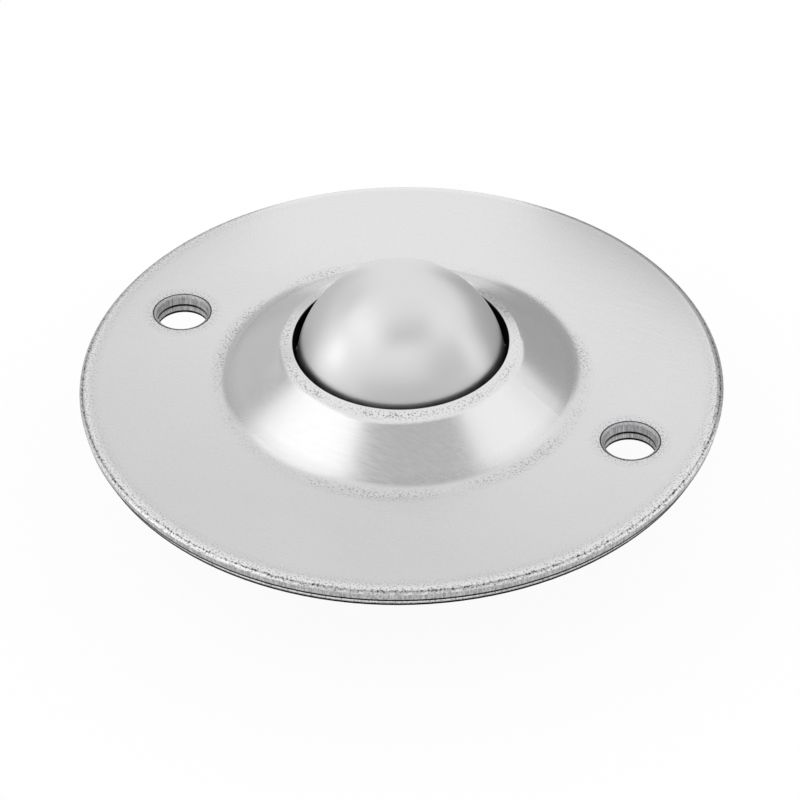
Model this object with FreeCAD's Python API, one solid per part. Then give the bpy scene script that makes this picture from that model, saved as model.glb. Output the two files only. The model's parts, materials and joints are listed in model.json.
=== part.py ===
"""Ball castor: a steel ball in a pressed housing with a round two-hole flange.

Frame: millimetres, +Z up out of the load ball, +X through the two screw holes. The origin is on the
castor's axis in its mounting face, which is the underside of the flange. The cup hangs below that
face, in a hole in the surface that the castor is fixed to.
"""
import FreeCAD, Part

import math
import os

# Load ball
load_ball_diameter = 25.4
load_ball_rise = 1.8  # its centre, above the top face of the flange

# Bearing balls, in rows round the axis
bearing_ball_diameter = 3.97
bearing_ball_clearance = 0.05  # to the load ball, and to the race
bearing_ball_row_gap = 0.15  # between one row and the next
bearing_ball_side_gap = 0.03  # between neighbours in a row, at least

# Cover: the upper sheet, with the cone that holds the ball in
cover_thickness = 1.5
flange_diameter = 78.0
cone_angle = 35.0  # slope of the cone, from the flange
cone_foot_radius = 3.0  # radius in the corner between flange and cone
shoulder_radius = 2.0  # outside bend from the cone to the lip
lip_width = 1.4  # straight part of the lip, from that bend to its pierced edge
lip_tilt = 17.0  # slope of the lip, from the flange
lip_hold_angle = 9.5  # how far above the ball's equator that edge holds it
lip_clearance = 0.13  # between that edge and the ball
cover_roll_width = 0.85  # rounded upper edge that blanking leaves on the rim
cover_roll_depth = 0.45
cover_shear_taper = 0.2  # how far the sheared wall under it falls in towards its lower edge

# Base: the lower sheet, with the drawn cup
base_thickness = 1.0
base_inset = 0.6  # how much smaller its radius is than the cover's
base_roll_width = 0.7  # its rim is rounded deep, which opens a groove under the cover
base_roll_depth = 0.6
base_shear_taper = 0.05
cup_mouth_radius = 1.2  # outside bend from the flange into the cup
cup_corner_radius = 8.0  # outside bend from the cup's wall to its floor

# Race: the hardened bowl that the bearing balls run in
race_thickness = 1.2
race_seat_radius = 4.0  # flat on its underside that stands on the cup's floor
race_end_play = 0.1  # between its rim and the cover's cone
race_side_clearance = 0.03  # between its widest circle and the cup's wall
drain_hole_diameter = 3.0

# Two screw holes, through both sheets
screw_hole_edge_distance = 9.0  # from a hole's centre to the cover's rim
screw_hole_diameter = 6.3
screw_hole_roll_width = 0.45  # rounded upper edge that piercing leaves in the cover
screw_hole_roll_depth = 0.3
base_hole_roll_width = 0.3  # and in the base
base_hole_roll_depth = 0.2
cut_past = 1.0  # how far a hole's cutter runs past the faces that it opens

# Heights and radii that follow
flange_top = base_thickness + cover_thickness
ball_centre = flange_top + load_ball_rise
load_ball_radius = load_ball_diameter / 2
bearing_ball_radius = bearing_ball_diameter / 2
bearing_ball_half_pitch = (bearing_ball_diameter + bearing_ball_side_gap) / 2
track_radius = load_ball_radius + bearing_ball_clearance + bearing_ball_radius
race_inner_radius = track_radius + bearing_ball_radius + bearing_ball_clearance
race_outer_radius = race_inner_radius + race_thickness
cup_inner_radius = race_outer_radius + race_side_clearance
cup_floor = ball_centre - math.sqrt(race_outer_radius ** 2 - race_seat_radius ** 2)
screw_hole_spacing = flange_diameter - 2 * screw_hole_edge_distance


def point(radius, height):
    """A point in the section plane, by its distance from the axis and its height."""
    return FreeCAD.Vector(radius, 0, height)


def on_circle(centre, radius, angle):
    """The point of a circle in the section plane at an angle from outwards, towards up."""
    turn = math.radians(angle)
    return centre + FreeCAD.Vector(radius * math.cos(turn), 0, radius * math.sin(turn))


def line(start, end):
    """A straight edge of a section."""
    return Part.makeLine(start, end)


def arc(centre, radius, start_angle, end_angle):
    """A round edge of a section, about a centre."""
    middle_angle = (start_angle + end_angle) / 2
    angles = (start_angle, middle_angle, end_angle)
    return Part.Arc(*[on_circle(centre, radius, angle) for angle in angles]).toShape()


def turned(edges):
    """The solid that a closed section makes when it turns once round the axis."""
    section = Part.Face(Part.Wire(edges))
    return section.revolve(FreeCAD.Vector(0, 0, 0), FreeCAD.Vector(0, 0, 1), 360)


def roll_radius(width, depth):
    """Radius of the arc that leaves a flat face tangent and drops by depth over width."""
    return (width ** 2 + depth ** 2) / (2 * depth)


def roll_angle(width, depth):
    """Angle of that arc's steep end, from outwards."""
    return math.degrees(math.acos(width / roll_radius(width, depth)))


def cone_section():
    """Centres of the cover's two bends, in the section plane: at the lip and at the foot."""
    hold = load_ball_radius + lip_clearance
    held_edge = on_circle(point(0, ball_centre), hold, lip_hold_angle)
    across_sheet = 90 - lip_tilt
    lip_edge = on_circle(held_edge, cover_thickness, across_sheet)
    bend = on_circle(lip_edge, lip_width, -lip_tilt)
    shoulder_centre = on_circle(bend, -shoulder_radius, across_sheet)
    cone_top = on_circle(shoulder_centre, shoulder_radius, 90 - cone_angle)
    slope = math.radians(cone_angle)
    corner = cone_top.x + (cone_top.z - flange_top) / math.tan(slope)
    foot = corner + cone_foot_radius * math.tan(slope / 2)
    return shoulder_centre, point(foot, flange_top + cone_foot_radius)


def rim(radius, bottom, top, roll_width, roll_depth, taper):
    """Edges up a blanked rim: the sheared wall, then the rounded upper edge."""
    roll = roll_radius(roll_width, roll_depth)
    roll_centre = point(radius - roll_width, top - roll)
    wall = line(point(radius - taper, bottom), point(radius, top - roll_depth))
    return [wall, arc(roll_centre, roll, roll_angle(roll_width, roll_depth), 90)]


def top_cover():
    """Pressed cover: flat flange, cone, and a pierced lip that closes in over the ball."""
    shoulder_centre, foot_centre = cone_section()
    lip_side = 90 - lip_tilt
    cone_side = 90 - cone_angle
    foot_side = 270 - cone_angle
    flange_radius = flange_diameter / 2
    under_shoulder = shoulder_radius - cover_thickness
    under_foot = cone_foot_radius + cover_thickness
    bend = on_circle(shoulder_centre, shoulder_radius, lip_side)
    under_bend = on_circle(shoulder_centre, under_shoulder, lip_side)
    lip_edge = on_circle(bend, -lip_width, -lip_tilt)
    held_edge = on_circle(under_bend, -lip_width, -lip_tilt)
    edges = rim(flange_radius, base_thickness, flange_top,
                cover_roll_width, cover_roll_depth, cover_shear_taper)
    edges += [
        line(point(flange_radius - cover_roll_width, flange_top), point(foot_centre.x, flange_top)),
        arc(foot_centre, cone_foot_radius, 270, foot_side),
        line(on_circle(foot_centre, cone_foot_radius, foot_side),
             on_circle(shoulder_centre, shoulder_radius, cone_side)),
        arc(shoulder_centre, shoulder_radius, cone_side, lip_side),
        line(bend, lip_edge),
        line(lip_edge, held_edge),
        line(held_edge, under_bend),
        arc(shoulder_centre, under_shoulder, lip_side, cone_side),
        line(on_circle(shoulder_centre, under_shoulder, cone_side),
             on_circle(foot_centre, under_foot, foot_side)),
        arc(foot_centre, under_foot, foot_side, 270),
        line(point(foot_centre.x, base_thickness),
             point(flange_radius - cover_shear_taper, base_thickness)),
    ]
    return turned(edges).cut(screw_hole_cutters(
        base_thickness, flange_top, screw_hole_roll_width, screw_hole_roll_depth))


def screw_hole_cutters(bottom, top, roll_width, roll_depth):
    """Both screw holes of one sheet, with the rounded upper edge that piercing leaves."""
    radius = screw_hole_diameter / 2
    roll = roll_radius(roll_width, roll_depth)
    roll_centre = point(radius + roll_width, top - roll)
    edges = [
        line(point(0, bottom - cut_past), point(radius, bottom - cut_past)),
        line(point(radius, bottom - cut_past), point(radius, top - roll_depth)),
        arc(roll_centre, roll, 180 - roll_angle(roll_width, roll_depth), 90),
        line(point(radius + roll_width, top), point(radius + roll_width, top + cut_past)),
        line(point(radius + roll_width, top + cut_past), point(0, top + cut_past)),
        line(point(0, top + cut_past), point(0, bottom - cut_past)),
    ]
    cutter = turned(edges)
    places = [FreeCAD.Vector(side * screw_hole_spacing / 2, 0, 0) for side in (-1, 1)]
    return Part.makeCompound([cutter.translated(place) for place in places])


def base_cup():
    """Pressed base: a flat flange under the cover's, and a cup drawn down from it."""
    inner_mouth = cup_mouth_radius + base_thickness
    inner_corner = cup_corner_radius - base_thickness
    outer_radius = cup_inner_radius + base_thickness
    mouth_centre = point(outer_radius + cup_mouth_radius, -cup_mouth_radius)
    corner_centre = point(outer_radius - cup_corner_radius, cup_floor + inner_corner)
    drain = drain_hole_diameter / 2
    rim_radius = flange_diameter / 2 - base_inset
    edges = rim(rim_radius, 0, base_thickness, base_roll_width, base_roll_depth, base_shear_taper)
    edges += [
        line(point(rim_radius - base_roll_width, base_thickness), point(mouth_centre.x, base_thickness)),
        arc(mouth_centre, inner_mouth, 90, 180),
        line(on_circle(mouth_centre, inner_mouth, 180), on_circle(corner_centre, inner_corner, 0)),
        arc(corner_centre, inner_corner, 0, -90),
        line(point(corner_centre.x, cup_floor), point(drain, cup_floor)),
        line(point(drain, cup_floor), point(drain, cup_floor - base_thickness)),
        line(point(drain, cup_floor - base_thickness),
             point(corner_centre.x, cup_floor - base_thickness)),
        arc(corner_centre, cup_corner_radius, -90, 0),
        line(on_circle(corner_centre, cup_corner_radius, 0),
             on_circle(mouth_centre, cup_mouth_radius, 180)),
        arc(mouth_centre, cup_mouth_radius, 180, 90),
        line(point(mouth_centre.x, 0), point(rim_radius - base_shear_taper, 0)),
    ]
    return turned(edges).cut(screw_hole_cutters(
        0, base_thickness, base_hole_roll_width, base_hole_roll_depth))


def race_rim_height():
    """Height at which the race's outer edge stops, just under the cover's cone."""
    foot_centre = cone_section()[1]
    slope = math.radians(cone_angle)
    under_cone = cone_foot_radius + cover_thickness + race_end_play
    across = foot_centre.x * math.sin(slope) + (foot_centre.z - ball_centre) * math.cos(slope)
    below_equator = slope - math.asin((across - under_cone) / race_outer_radius)
    return ball_centre - race_outer_radius * math.sin(below_equator)


def race_cup():
    """Hardened bowl about the load ball's centre, coined flat where it stands on the floor."""
    centre = point(0, ball_centre)
    rim_drop = ball_centre - race_rim_height()
    inner_rim = -math.degrees(math.asin(rim_drop / race_inner_radius))
    outer_rim = -math.degrees(math.asin(rim_drop / race_outer_radius))
    seat = -math.degrees(math.acos(race_seat_radius / race_outer_radius))
    drain = drain_hole_diameter / 2
    inner_drain = -math.degrees(math.acos(drain / race_inner_radius))
    return turned([
        arc(centre, race_inner_radius, inner_drain, inner_rim),
        line(on_circle(centre, race_inner_radius, inner_rim),
             on_circle(centre, race_outer_radius, outer_rim)),
        arc(centre, race_outer_radius, outer_rim, seat),
        line(point(race_seat_radius, cup_floor), point(drain, cup_floor)),
        line(point(drain, cup_floor), on_circle(centre, race_inner_radius, inner_drain)),
    ])


def bearing_ball_rows():
    """Rows of bearing balls down the race, from its rim to the edge of its drain hole."""
    top_drop = ball_centre - race_rim_height() + bearing_ball_radius
    angle = math.acos(top_drop / track_radius)
    pitch = 2 * math.asin((bearing_ball_diameter + bearing_ball_row_gap) / (2 * track_radius))
    over_drain_edge = track_radius * drain_hole_diameter / (2 * race_inner_radius)
    smallest_row = max(over_drain_edge, bearing_ball_half_pitch)
    rows = []
    while track_radius * math.sin(angle) >= smallest_row:
        rows.append(bearing_ball_row(angle))
        angle -= pitch
    return rows


def bearing_ball_row(angle):
    """One row of bearing balls, at an angle up from straight below the load ball's centre."""
    row_radius = track_radius * math.sin(angle)
    row_height = ball_centre - track_radius * math.cos(angle)
    count = int(math.pi / math.asin(bearing_ball_half_pitch / row_radius))
    balls = []
    for number in range(count):
        turn = 2 * math.pi * number / count
        place = FreeCAD.Vector(row_radius * math.cos(turn), row_radius * math.sin(turn), row_height)
        balls.append(Part.makeSphere(bearing_ball_radius, place))
    return Part.makeCompound(balls)


def load_ball():
    """The ball that carries the load, in the middle of the bearing balls."""
    return Part.makeSphere(load_ball_radius, FreeCAD.Vector(0, 0, ball_centre))


pieces = {
    "top_cover": top_cover(),
    "base_cup": base_cup(),
    "race_cup": race_cup(),
    "load_ball": load_ball(),
}
for number, row in enumerate(bearing_ball_rows(), 1):
    pieces[f"bearing_balls_row_{number}"] = row

os.makedirs("parts", exist_ok=True)
for node, shape in pieces.items():
    shape.exportStep(f"parts/{node}.step")
    print(node, len(shape.Solids), "solids,", round(shape.Volume, 1), "mm3, valid", shape.isValid())
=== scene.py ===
"""Looks of the ball castor: a steel ball in a pressed housing with a round two-hole flange."""
import json
import math

import bmesh
import bpy
from mathutils import Matrix, Vector


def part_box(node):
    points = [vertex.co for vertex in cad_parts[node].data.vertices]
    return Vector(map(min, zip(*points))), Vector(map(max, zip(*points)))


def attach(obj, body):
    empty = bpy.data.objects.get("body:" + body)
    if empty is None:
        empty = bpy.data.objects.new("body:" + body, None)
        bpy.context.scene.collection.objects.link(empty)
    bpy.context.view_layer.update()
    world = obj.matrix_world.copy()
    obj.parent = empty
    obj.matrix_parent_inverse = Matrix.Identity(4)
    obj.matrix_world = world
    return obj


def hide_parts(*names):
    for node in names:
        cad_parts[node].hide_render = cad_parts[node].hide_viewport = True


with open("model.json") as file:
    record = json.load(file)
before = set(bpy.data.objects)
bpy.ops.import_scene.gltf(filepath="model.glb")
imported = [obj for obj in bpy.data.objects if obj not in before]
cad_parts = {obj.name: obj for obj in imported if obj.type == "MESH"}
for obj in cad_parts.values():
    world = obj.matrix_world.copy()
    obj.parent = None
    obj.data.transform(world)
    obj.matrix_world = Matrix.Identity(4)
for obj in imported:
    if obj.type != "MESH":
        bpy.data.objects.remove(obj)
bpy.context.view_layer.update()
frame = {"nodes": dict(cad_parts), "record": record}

scene = bpy.context.scene
scene.view_settings.view_transform = "Standard"
MM = 0.001

# Camera
# It looks down on the castor through a long lens, from the side on which the right screw hole is
# the nearer one.
cover_thickness = 1.5 * MM
base_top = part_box("base_cup")[1].z
flange_top = base_top + cover_thickness
camera_turn = math.radians(25.7)
camera_rise = math.radians(39.55)
camera_roll = math.radians(-0.86)
camera_distance = 436.6 * MM
camera_aim = Vector((-0.15, -3.06)) * MM  # off the castor's axis, in the plane of the picture

camera = bpy.data.objects.new("camera", bpy.data.cameras.new("camera"))
camera.data.lens = 162
camera.data.sensor_width = 36
camera.data.clip_end = 20
camera.matrix_world = (
    Matrix.Translation((0, 0, flange_top))
    @ Matrix.Rotation(camera_turn, 4, "Z")
    @ Matrix.Rotation(math.pi / 2 - camera_rise, 4, "X")
    @ Matrix.Rotation(camera_roll, 4, "Z")
    @ Matrix.Translation((*camera_aim, camera_distance))
)
scene.collection.objects.link(camera)
scene.camera = camera


# Floor
# A white table, on which the castor stands on the bottom of its cup. Most of its white is its own,
# so that the shadow stays as faint as under a light tent.
floor_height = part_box("base_cup")[0].z
floor_half = 3.0
floor_shadow = 0.1  # share of the white that the shadow can take away
mirrored_shadow = 0.6  # the same where the metal mirrors the floor


def srgb(code):
    """A hex colour as the linear values that a shader takes."""
    shares = [int(code[start:start + 2], 16) / 255 for start in (1, 3, 5)]
    linear = [share / 12.92 if share <= 0.04045 else ((share + 0.055) / 1.055) ** 2.4
              for share in shares]
    return (*linear, 1.0)


def add(tree, kind, inputs=(), **settings):
    """Add one node with its settings, and a value or a link for each input."""
    made = tree.nodes.new(kind)
    for setting, value in settings.items():
        setattr(made, setting, value)
    for socket, value in dict(inputs).items():
        if isinstance(value, bpy.types.NodeSocket):
            tree.links.new(value, made.inputs[socket])
        else:
            made.inputs[socket].default_value = value
    return made


def empty_material(name):
    """A material with no nodes yet."""
    material = bpy.data.materials.new(name)
    material.use_nodes = True
    material.node_tree.nodes.clear()
    return material


def flat_piece(name, half_width, half_height, material):
    """A flat rectangle about the origin, facing up."""
    mesh = bpy.data.meshes.new(name)
    corners = [(-half_width, -half_height, 0), (half_width, -half_height, 0),
               (half_width, half_height, 0), (-half_width, half_height, 0)]
    mesh.from_pydata(corners, [], [(0, 1, 2, 3)])
    mesh.materials.append(material)
    piece = bpy.data.objects.new(name, mesh)
    scene.collection.objects.link(piece)
    return piece


white_table = empty_material("white laminate table")
tree = white_table.node_tree
path = add(tree, "ShaderNodeLightPath")
looked_at = add(tree, "ShaderNodeMath", {
    0: path.outputs["Is Camera Ray"], 1: path.outputs["Is Transmission Ray"]}, operation="MAXIMUM")
looked_at = add(tree, "ShaderNodeMath", {
    0: looked_at.outputs[0], 1: 1 - floor_shadow}, operation="MULTIPLY")
mirrored = add(tree, "ShaderNodeMath", {
    0: path.outputs["Is Glossy Ray"], 1: 1 - mirrored_shadow}, operation="MULTIPLY")
own_white = add(tree, "ShaderNodeMath", {
    0: looked_at.outputs[0], 1: mirrored.outputs[0]}, operation="MAXIMUM")
plain = add(tree, "ShaderNodeBsdfDiffuse", {"Color": srgb("#F7F7F7")})
glow = add(tree, "ShaderNodeEmission", {"Color": (1, 1, 1, 1), "Strength": 1.0})
upper_side = add(tree, "ShaderNodeMixShader", {
    0: own_white.outputs[0], 1: plain.outputs[0], 2: glow.outputs[0]})
underside = add(tree, "ShaderNodeBsdfTransparent")  # so that a view from below isn't blocked
side = add(tree, "ShaderNodeNewGeometry")
both = add(tree, "ShaderNodeMixShader", {
    0: side.outputs["Backfacing"], 1: upper_side.outputs[0], 2: underside.outputs[0]})
add(tree, "ShaderNodeOutputMaterial", {"Surface": both.outputs[0]})

floor = flat_piece("floor", floor_half, floor_half, white_table)
floor.data.transform(Matrix.Translation((0, 0, floor_height)))


# Light
# A white tent all round, soft lamps on both sides and above the camera, and grey cards that give
# the polished metal something darker to show. The cards are seen only in reflections.
world = bpy.data.worlds.new("white tent")
world.use_nodes = True
world.node_tree.nodes["Background"].inputs["Color"].default_value = (1, 1, 1, 1)
world.node_tree.nodes["Background"].inputs["Strength"].default_value = 1.0
scene.world = world
lamp_distance = 1.5


def stand(piece, distance, turn, rise):
    """Put a lamp or card round the castor, facing it: turn 0 is the camera's side, 90 its right."""
    piece.matrix_world = (
        Matrix.Rotation(camera_turn + math.radians(turn), 4, "Z")
        @ Matrix.Rotation(math.pi / 2 - math.radians(rise), 4, "X")
        @ Matrix.Translation((0, 0, distance))
    )


def reach(distance, angle):
    """Size that spans an angle at a distance."""
    return 2 * distance * math.tan(math.radians(angle) / 2)


# name, turn, rise, width and height as angles, brightness beside the tent's
lamps = [
    ("high left lamp", -84, 53, 52, 26, 0.34),
    ("low left lamp", -86, 12, 18, 32, 0.85),
    ("high right lamp", 92, 48, 40, 22, 0.12),
    ("low right lamp", 91, 10, 12, 34, 0.5),
    ("camera side lamp", 10, 51, 36, 13, 0.3),
]
for name, turn, rise, wide, high, brightness in lamps:
    light = bpy.data.lights.new(name, "AREA")
    light.shape = "RECTANGLE"
    light.size = reach(lamp_distance, wide)
    light.size_y = reach(lamp_distance, high)
    light.energy = brightness * math.pi * light.size * light.size_y
    lamp = bpy.data.objects.new(name, light)
    lamp.visible_camera = False
    scene.collection.objects.link(lamp)
    stand(lamp, lamp_distance, turn, rise)

# name, distance, turn, rise, width and height as angles, grey
cards = [
    ("overhead card", 1.5, 17, 70, 48, 23, "#C0C0C0"),
    ("camera side card", 1.5, 0, 0, 90, 34, "#B4B4B4"),
    ("right front card", 1.5, 60, 20, 46, 40, "#D4D4D4"),
    ("left rear card", 1.5, -134, 30, 30, 16, "#C4C4C4"),
    ("back right card", 0.065, 132, 7, 62, 36, "#B0B0B0"),
    ("back left card", 0.065, -133, 6, 60, 34, "#D0D0D0"),
]
for name, distance, turn, rise, wide, high, grey in cards:
    paper = empty_material(f"{name} grey paper")
    glow = add(paper.node_tree, "ShaderNodeEmission", {"Color": srgb(grey), "Strength": 1.0})
    add(paper.node_tree, "ShaderNodeOutputMaterial", {"Surface": glow.outputs[0]})
    card = flat_piece(name, reach(distance, wide) / 2, reach(distance, high) / 2, paper)
    card.visible_camera = False
    card.visible_diffuse = False
    card.visible_shadow = False
    card.visible_transmission = False
    stand(card, distance, turn, rise)


# Base
# The lower sheet: cold-rolled steel, zinc plated, with a cup drawn down from a flat flange. Its rim
# and holes are blanked and pierced, so their walls are sheared steel, darker and rougher than the
# plated faces.
base_thickness = 1.0 * MM
flange_end, cone_start = 21.9 * MM, 19.4 * MM  # radii between which both sheets bend away
noise_low, noise_high = 0.3, 0.7  # what a noise texture mostly stays between
mounts = {mount["name"]: mount["dims"] for mount in frame["record"]["mounts"]}
hole_offset = mounts["screw_holes"]["spacing_x_mm"] / 2 * MM
hole_radius = mounts["screw_holes"]["hole_r_mm"] * MM


def off_axis(tree, place, offset):
    """Distance from the upright axes that stand this far out along X, on both sides."""
    folded = add(tree, "ShaderNodeVectorMath", {0: place}, operation="ABSOLUTE")
    moved = add(tree, "ShaderNodeVectorMath", {
        0: folded.outputs[0], 1: (offset, 0, 0)}, operation="SUBTRACT")
    level = add(tree, "ShaderNodeVectorMath", {
        0: moved.outputs[0], 1: (1, 1, 0)}, operation="MULTIPLY")
    length = add(tree, "ShaderNodeVectorMath", {0: level.outputs[0]}, operation="LENGTH")
    return length.outputs["Value"]


def plated_sheet(name, shaded_tone, unshaded_tone, rim_radius, top, thickness, roll_depth, corner_shade_height,
                 bends=(), lip_radius=None):
    """Zinc-plated rolled sheet with sheared walls: satin, with fine lines the way it was rolled.

    top is the height of its flange, and roll_depth how far the rounded upper edge of its rim goes
    down. Shade is painted along the lower corner of its walls, up by corner_shade_height. Each of
    the bends is a radius and the half width of its scuffs. lip_radius is that of the greased edge
    round the ball, darkened also with painted shade. shaded_tone is the flange's tone where shade
    is painted, towards -Y, and unshaded_tone that of the rest and of the cone.
    """
    material = empty_material(name)
    tree = material.node_tree
    place = add(tree, "ShaderNodeTexCoord").outputs["Object"]
    apart = add(tree, "ShaderNodeSeparateXYZ", {0: place}).outputs
    from_axis = off_axis(tree, place, 0)
    from_hole = off_axis(tree, place, hole_offset)

    # Rolling leaves fine lines, and the plating clouds. Shade is painted on the flange, darkest on
    # the side that faces -Y, and the band over the rim's roll is lightened, partly burnish and
    # partly a painted highlight
    rolling_turn = math.radians(-25.7)
    line_length, line_pitch, cloud_size = 6 * MM, 0.25 * MM, 9 * MM
    shaded_worn_side, unshaded_fresh_side = -28 * MM, 26 * MM
    highlight_start, highlight_end = rim_radius - 1.5 * MM, rim_radius - 0.8 * MM
    rolled = add(tree, "ShaderNodeMapping", {
        "Vector": place, "Rotation": (0, 0, rolling_turn),
        "Scale": (1 / line_length, 1 / line_pitch, 1 / line_pitch)})
    lines = add(tree, "ShaderNodeTexNoise", {
        "Vector": rolled.outputs[0], "Scale": 1.0, "Detail": 3.0})
    clouds = add(tree, "ShaderNodeTexNoise", {
        "Vector": place, "Scale": 1 / cloud_size, "Detail": 2.0})
    # Painted shade: the flange darkens towards its -Y side. The same mask keeps the scuffs to that
    # side
    shade_and_wear_side = add(tree, "ShaderNodeMapRange", {
        "Value": apart["Y"], "From Min": shaded_worn_side, "From Max": unshaded_fresh_side})
    inside = add(tree, "ShaderNodeMapRange", {
        "Value": from_axis, "From Min": flange_end, "From Max": cone_start})
    shade = add(tree, "ShaderNodeMath", {
        0: shade_and_wear_side.outputs["Result"], 1: inside.outputs["Result"]}, operation="MAXIMUM")
    shade = add(tree, "ShaderNodeMath", {
        0: clouds.outputs["Fac"], 1: 0.2, 2: shade.outputs[0]}, operation="MULTIPLY_ADD")
    tone = add(tree, "ShaderNodeMixRGB", {
        "Fac": shade.outputs[0], "Color1": srgb(shaded_tone), "Color2": srgb(unshaded_tone)})
    # Partly burnish and partly a painted highlight: a lighter band over the rim's roll
    burnish_and_highlight = add(tree, "ShaderNodeMapRange", {
        "Value": from_axis, "From Min": highlight_start, "From Max": highlight_end, "To Max": 0.6})
    tone = add(tree, "ShaderNodeMixRGB", {
        "Fac": burnish_and_highlight.outputs["Result"], "Color1": tone.outputs[0], "Color2": srgb("#F0F0F0")})
    rough = add(tree, "ShaderNodeMapRange", {
        "Value": lines.outputs["Fac"], "From Min": noise_low, "From Max": noise_high,
        "To Min": 0.25, "To Max": 0.32})

    # It has also scuffed the rim, a ring round each hole and the bends, in specks
    speck_size = 0.25 * MM
    scuff_start, scuff_full = rim_radius - 2.5 * MM, rim_radius - 0.3 * MM
    ring_start, ring_full = hole_radius + 1.9 * MM, hole_radius + 0.4 * MM
    bend_full = 0.2 * MM
    rim_near = add(tree, "ShaderNodeMapRange", {
        "Value": from_axis, "From Min": scuff_start, "From Max": scuff_full})
    hole_near = add(tree, "ShaderNodeMapRange", {
        "Value": from_hole, "From Min": ring_start, "From Max": ring_full})
    near = add(tree, "ShaderNodeMath", {
        0: rim_near.outputs["Result"], 1: hole_near.outputs["Result"]}, operation="MAXIMUM")
    patchy = add(tree, "ShaderNodeMapRange", {
        "Value": clouds.outputs["Fac"], "From Min": 0.45, "From Max": 0.6, "To Min": 0.25})
    for bend_radius, half_width in bends:
        from_bend = add(tree, "ShaderNodeMath", {
            0: from_axis, 1: bend_radius}, operation="SUBTRACT")
        from_bend = add(tree, "ShaderNodeMath", {0: from_bend.outputs[0]}, operation="ABSOLUTE")
        bend_near = add(tree, "ShaderNodeMapRange", {
            "Value": from_bend.outputs[0], "From Min": half_width, "From Max": bend_full})
        bend_near = add(tree, "ShaderNodeMath", {
            0: bend_near.outputs["Result"], 1: patchy.outputs["Result"]}, operation="MULTIPLY")
        near = add(tree, "ShaderNodeMath", {
            0: near.outputs[0], 1: bend_near.outputs[0]}, operation="MAXIMUM")
    specks = add(tree, "ShaderNodeTexNoise", {
        "Vector": place, "Scale": 1 / speck_size, "Detail": 1.0})
    specks = add(tree, "ShaderNodeMapRange", {
        "Value": specks.outputs["Fac"], "From Min": 0.5, "From Max": 0.66, "To Max": 0.9})
    spared = add(tree, "ShaderNodeMapRange", {
        "Value": shade_and_wear_side.outputs["Result"], "From Min": 0.8, "To Min": 1.0, "To Max": 0.15})
    near = add(tree, "ShaderNodeMath", {
        0: near.outputs[0], 1: spared.outputs["Result"]}, operation="MULTIPLY")
    scuffed = add(tree, "ShaderNodeMath", {
        0: near.outputs[0], 1: specks.outputs["Result"]}, operation="MULTIPLY")
    worn = add(tree, "ShaderNodeMixRGB", {
        "Fac": scuffed.outputs[0], "Color1": tone.outputs[0], "Color2": srgb("#929294")})

    # Walls cut by the blanking and piercing tools, with upright streaks
    streak_width, streak_length = 0.15 * MM, 2.5 * MM
    rim_face, rim_wall = rim_radius - 0.45 * MM, rim_radius - 0.25 * MM
    hole_face, hole_wall = hole_radius + 0.4 * MM, hole_radius + 0.3 * MM
    wall_top = top - roll_depth
    stretched = add(tree, "ShaderNodeMapping", {
        "Vector": place, "Scale": (1 / streak_width, 1 / streak_width, 1 / streak_length)})
    streaks = add(tree, "ShaderNodeTexNoise", {
        "Vector": stretched.outputs[0], "Scale": 1.0, "Detail": 2.0})
    cut_tone = add(tree, "ShaderNodeMapRange", {
        "Value": streaks.outputs["Fac"], "From Min": noise_low, "From Max": noise_high})
    cut_tone = add(tree, "ShaderNodeMixRGB", {
        "Fac": cut_tone.outputs["Result"], "Color1": srgb("#909093"), "Color2": srgb("#D4D4D5")})
    rim_cut = add(tree, "ShaderNodeMapRange", {
        "Value": from_axis, "From Min": rim_face, "From Max": rim_wall})
    hole_cut = add(tree, "ShaderNodeMapRange", {
        "Value": from_hole, "From Min": hole_face, "From Max": hole_wall})
    under_roll = add(tree, "ShaderNodeMapRange", {
        "Value": apart["Z"], "From Min": wall_top + 0.08 * MM, "From Max": wall_top - 0.02 * MM})
    rim_cut = add(tree, "ShaderNodeMath", {
        0: rim_cut.outputs["Result"], 1: under_roll.outputs["Result"]}, operation="MULTIPLY")
    cut = add(tree, "ShaderNodeMath", {
        0: rim_cut.outputs[0], 1: hole_cut.outputs["Result"]}, operation="MAXIMUM")
    bare = add(tree, "ShaderNodeMixRGB", {
        "Fac": cut.outputs[0], "Color1": worn.outputs[0], "Color2": cut_tone.outputs[0]})

    # Painted shade along the lower corner of each cut wall, a broken line of painted dark
    # reflection on the roll over the wall, a dark line round each hole, and old grease with painted
    # shade on the wall that faces the ball
    corner_shade_top = top - thickness + corner_shade_height
    rim_reflection_radius, rim_reflection_half = rim_radius - 0.38 * MM, 0.1 * MM
    hole_line_radius, hole_line_half = hole_radius + 0.42 * MM, 0.09 * MM
    # Painted shade: the lower corner of each cut wall turns nearly black, between the sheets and
    # under the base
    low = add(tree, "ShaderNodeMapRange", {
        "Value": apart["Z"], "From Min": corner_shade_top + 0.1 * MM, "From Max": corner_shade_top})
    painted_shade_and_grease = add(tree, "ShaderNodeMath", {
        0: cut.outputs[0], 1: low.outputs["Result"]}, operation="MULTIPLY")
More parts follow.
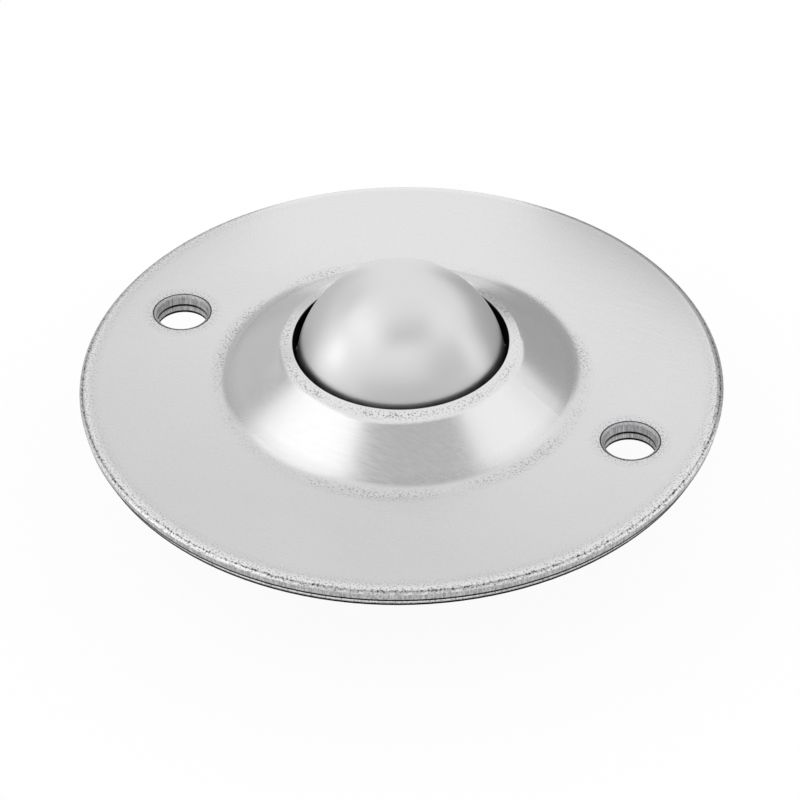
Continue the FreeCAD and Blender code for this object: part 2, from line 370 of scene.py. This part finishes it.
    # Painted dark reflection: a broken dark line on the roll over the rim's wall
    rim_reflection_line = add(tree, "ShaderNodeMath", {
        0: from_axis, 1: rim_reflection_radius, 2: rim_reflection_half}, operation="COMPARE")
    broken = add(tree, "ShaderNodeMath", {
        0: specks.outputs["Result"], 1: 0.6, 2: 0.3}, operation="MULTIPLY_ADD")
    rim_reflection_line = add(tree, "ShaderNodeMath", {
        0: rim_reflection_line.outputs[0], 1: broken.outputs[0]}, operation="MULTIPLY")
    hole_line = add(tree, "ShaderNodeMath", {
        0: from_hole, 1: hole_line_radius, 2: hole_line_half}, operation="COMPARE")
    hole_line = add(tree, "ShaderNodeMath", {
        0: hole_line.outputs[0], 1: 0.9}, operation="MULTIPLY")
    for line in (rim_reflection_line, hole_line):
        painted_shade_and_grease = add(tree, "ShaderNodeMath", {
            0: painted_shade_and_grease.outputs[0], 1: line.outputs[0]}, operation="MAXIMUM")
    if lip_radius:
        # Grease, and painted shade of the gap round the ball, on the lip's wall
        lip_grease_and_shade = add(tree, "ShaderNodeMapRange", {
            "Value": from_axis, "From Min": lip_radius + 0.02 * MM,
            "From Max": lip_radius - 0.06 * MM})
        painted_shade_and_grease = add(tree, "ShaderNodeMath", {
            0: painted_shade_and_grease.outputs[0], 1: lip_grease_and_shade.outputs["Result"]}, operation="MAXIMUM")
    # Painted shade, painted reflection, the holes' dark lines and grease, all mixed towards near
    # black
    shaded_and_greased = add(tree, "ShaderNodeMixRGB", {
        "Fac": painted_shade_and_grease.outputs[0], "Color1": bare.outputs[0], "Color2": srgb("#0E0E0E")})

    # Drawing has smoothed the sheet inside the flange, and the cut walls are rougher
    rough = add(tree, "ShaderNodeMath", {
        0: inside.outputs["Result"], 1: -0.06, 2: rough.outputs["Result"]},
        operation="MULTIPLY_ADD")
    rough = add(tree, "ShaderNodeMath", {
        0: cut.outputs[0], 1: 0.2, 2: rough.outputs[0]}, operation="MULTIPLY_ADD")
    line_depth, streak_depth = 0.002 * MM, 0.05 * MM
    bump = add(tree, "ShaderNodeBump", {
        "Height": lines.outputs["Fac"], "Strength": 1.0, "Distance": line_depth})
    bump = add(tree, "ShaderNodeBump", {
        "Height": streaks.outputs["Fac"], "Strength": cut.outputs[0], "Distance": streak_depth,
        "Normal": bump.outputs[0]})
    surface = add(tree, "ShaderNodeBsdfPrincipled", {
        "Base Color": shaded_and_greased.outputs[0], "Metallic": 1.0,
        "Roughness": rough.outputs[0], "Normal": bump.outputs[0]})
    add(tree, "ShaderNodeOutputMaterial", {"Surface": surface.outputs[0]})
    return material


base_cup = frame["nodes"]["base_cup"]
# Lighter tones than the cover's, though the steel is the same: a painted highlight on the base's
# edge
base_cup.data.materials[0] = plated_sheet(
    "zinc plated rolled steel base", shaded_tone="#EEEEEE", unshaded_tone="#F4F4F4",
    rim_radius=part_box("base_cup")[1].x, top=base_top, thickness=base_thickness,
    roll_depth=0.6 * MM, corner_shade_height=0.26 * MM)


# Race
# The bowl that the bearing balls run in: hardened steel sheet, dull from heat treatment and dark
# with oil.
race_steel = empty_material("hardened steel race")
tree = race_steel.node_tree
place = add(tree, "ShaderNodeTexCoord").outputs["Object"]
oil_patch = 3 * MM
patches = add(tree, "ShaderNodeTexNoise", {"Vector": place, "Scale": 1 / oil_patch, "Detail": 3.0})
tone = add(tree, "ShaderNodeMixRGB", {
    "Fac": patches.outputs["Fac"], "Color1": srgb("#6E6E72"), "Color2": srgb("#8C8C90")})
surface = add(tree, "ShaderNodeBsdfPrincipled", {
    "Base Color": tone.outputs[0], "Metallic": 1.0, "Roughness": 0.35})
add(tree, "ShaderNodeOutputMaterial", {"Surface": surface.outputs[0]})
race_cup = frame["nodes"]["race_cup"]
race_cup.data.materials[0] = race_steel


# Bearing balls
# Five rows of small balls that carry the load ball: hardened bearing steel, ground and polished, so
# that they mirror like glass. They lie loose in the race.
bearing_steel = empty_material("polished bearing steel")
tree = bearing_steel.node_tree
surface = add(tree, "ShaderNodeBsdfPrincipled", {
    "Base Color": srgb("#C8C8CA"), "Metallic": 1.0, "Roughness": 0.12})
add(tree, "ShaderNodeOutputMaterial", {"Surface": surface.outputs[0]})
side_gap = 0.03 * MM  # between neighbours in a row, at least
bearing_ball_fineness = 4  # 1,280 faces a ball

row_tree = bpy.data.node_groups.new("row of balls", "GeometryNodeTree")
for name, kind in (("Row Radius", "Float"), ("Row Height", "Float"), ("Ball Radius", "Float"),
                   ("Number", "Int"), ("Material", "Material")):
    row_tree.interface.new_socket(name, in_out="INPUT", socket_type=f"NodeSocket{kind}")
row_tree.interface.new_socket("Balls", in_out="OUTPUT", socket_type="NodeSocketGeometry")
sizes = add(row_tree, "NodeGroupInput").outputs
ring = add(row_tree, "GeometryNodeMeshCircle", {
    "Vertices": sizes["Number"], "Radius": sizes["Row Radius"]})
lift = add(row_tree, "ShaderNodeCombineXYZ", {"Z": sizes["Row Height"]})
ring = add(row_tree, "GeometryNodeTransform", {
    "Geometry": ring.outputs["Mesh"], "Translation": lift.outputs["Vector"]})
ball = add(row_tree, "GeometryNodeMeshIcoSphere", {
    "Radius": sizes["Ball Radius"], "Subdivisions": bearing_ball_fineness})
ball = add(row_tree, "GeometryNodeSetShadeSmooth", {"Geometry": ball.outputs["Mesh"]})
balls = add(row_tree, "GeometryNodeInstanceOnPoints", {
    "Points": ring.outputs["Geometry"], "Instance": ball.outputs["Geometry"]})
balls = add(row_tree, "GeometryNodeRealizeInstances", {"Geometry": balls.outputs["Instances"]})
balls = add(row_tree, "GeometryNodeSetMaterial", {
    "Geometry": balls.outputs["Geometry"], "Material": sizes["Material"]})
add(row_tree, "NodeGroupOutput", {"Balls": balls.outputs["Geometry"]})

row_nodes = sorted(name for name in frame["nodes"] if name.startswith("bearing_balls_row_"))
for number, row_node in enumerate(row_nodes, 1):
    low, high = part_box(row_node)
    ball_radius = (high.z - low.z) / 2
    row_radius = high.x - ball_radius  # the first ball of each row stands on the X axis
    half_pitch = ball_radius + side_gap / 2
    row_sizes = {
        "Row Radius": row_radius,
        "Row Height": (high.z + low.z) / 2,
        "Ball Radius": ball_radius,
        "Number": int(math.pi / math.asin(half_pitch / row_radius)),
        "Material": bearing_steel,
    }
    carrier = bpy.data.objects.new("row of balls", bpy.data.meshes.new("empty"))
    scene.collection.objects.link(carrier)
    modifier = carrier.modifiers.new("row of balls", "NODES")
    modifier.node_group = row_tree
    for socket in row_tree.interface.items_tree:
        if socket.in_out == "INPUT":
            modifier[socket.identifier] = row_sizes[socket.name]
    depsgraph = bpy.context.evaluated_depsgraph_get()
    mesh = bpy.data.meshes.new_from_object(carrier.evaluated_get(depsgraph))
    bpy.data.objects.remove(carrier)
    row = bpy.data.objects.new(f"polished_balls_row_{number}", mesh)
    mesh.name = row.name
    scene.collection.objects.link(row)
    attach(row, "bearing_balls")
    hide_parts(row_node)


# Load ball
# One hardened bearing-steel ball, ground and then tumbled, which gives it a bright satin that turns
# the lamps into soft patches. It rests on the bearing balls, and the cover's lip keeps it in.
load_ball_fineness = 6  # 20,480 faces
satin_ball = empty_material("satin tumbled bearing steel")
tree = satin_ball.node_tree
place = add(tree, "ShaderNodeTexCoord").outputs["Object"]
tumbled_patch = 4 * MM
tumbled = add(tree, "ShaderNodeTexNoise", {
    "Vector": place, "Scale": 1 / tumbled_patch, "Detail": 3.0})
rough = add(tree, "ShaderNodeMapRange", {
    "Value": tumbled.outputs["Fac"], "From Min": noise_low, "From Max": noise_high,
    "To Min": 0.38, "To Max": 0.44})
surface = add(tree, "ShaderNodeBsdfPrincipled", {
    "Base Color": srgb("#DDDDDD"), "Metallic": 1.0, "Roughness": rough.outputs["Result"]})
add(tree, "ShaderNodeOutputMaterial", {"Surface": surface.outputs[0]})

ball_low, ball_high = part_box("load_ball")
ball_centre = (ball_low + ball_high) / 2
form = bmesh.new()
bmesh.ops.create_icosphere(
    form, subdivisions=load_ball_fineness, radius=(ball_high.z - ball_low.z) / 2,
    matrix=Matrix.Translation(ball_centre))
for face in form.faces:
    face.smooth = True
mesh = bpy.data.meshes.new("satin_load_ball")
form.to_mesh(mesh)
form.free()
mesh.materials.append(satin_ball)
satin_load_ball = bpy.data.objects.new("satin_load_ball", mesh)
scene.collection.objects.link(satin_load_ball)
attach(satin_load_ball, "load_ball")
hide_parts("load_ball")


# Cover
# The upper sheet: the same steel as the base, pressed to the cone that closes in over the load
# ball, and laid on the base's flange. Shade is painted on its flange towards -Y, handling has
# scuffed its bends and edges, and grease from the ball, with painted shade, has blackened the edge
# of its lip.
top_cover = frame["nodes"]["top_cover"]
top_cover.data.materials[0] = plated_sheet(
    "zinc plated rolled steel cover", shaded_tone="#CDCDCD", unshaded_tone="#E2E2E2",
    rim_radius=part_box("top_cover")[1].x, top=flange_top, thickness=cover_thickness,
    roll_depth=0.45 * MM, corner_shade_height=0.24 * MM,
    bends=[(22.4 * MM, 1.2 * MM), (13.9 * MM, 0.8 * MM)], lip_radius=13.09 * MM)
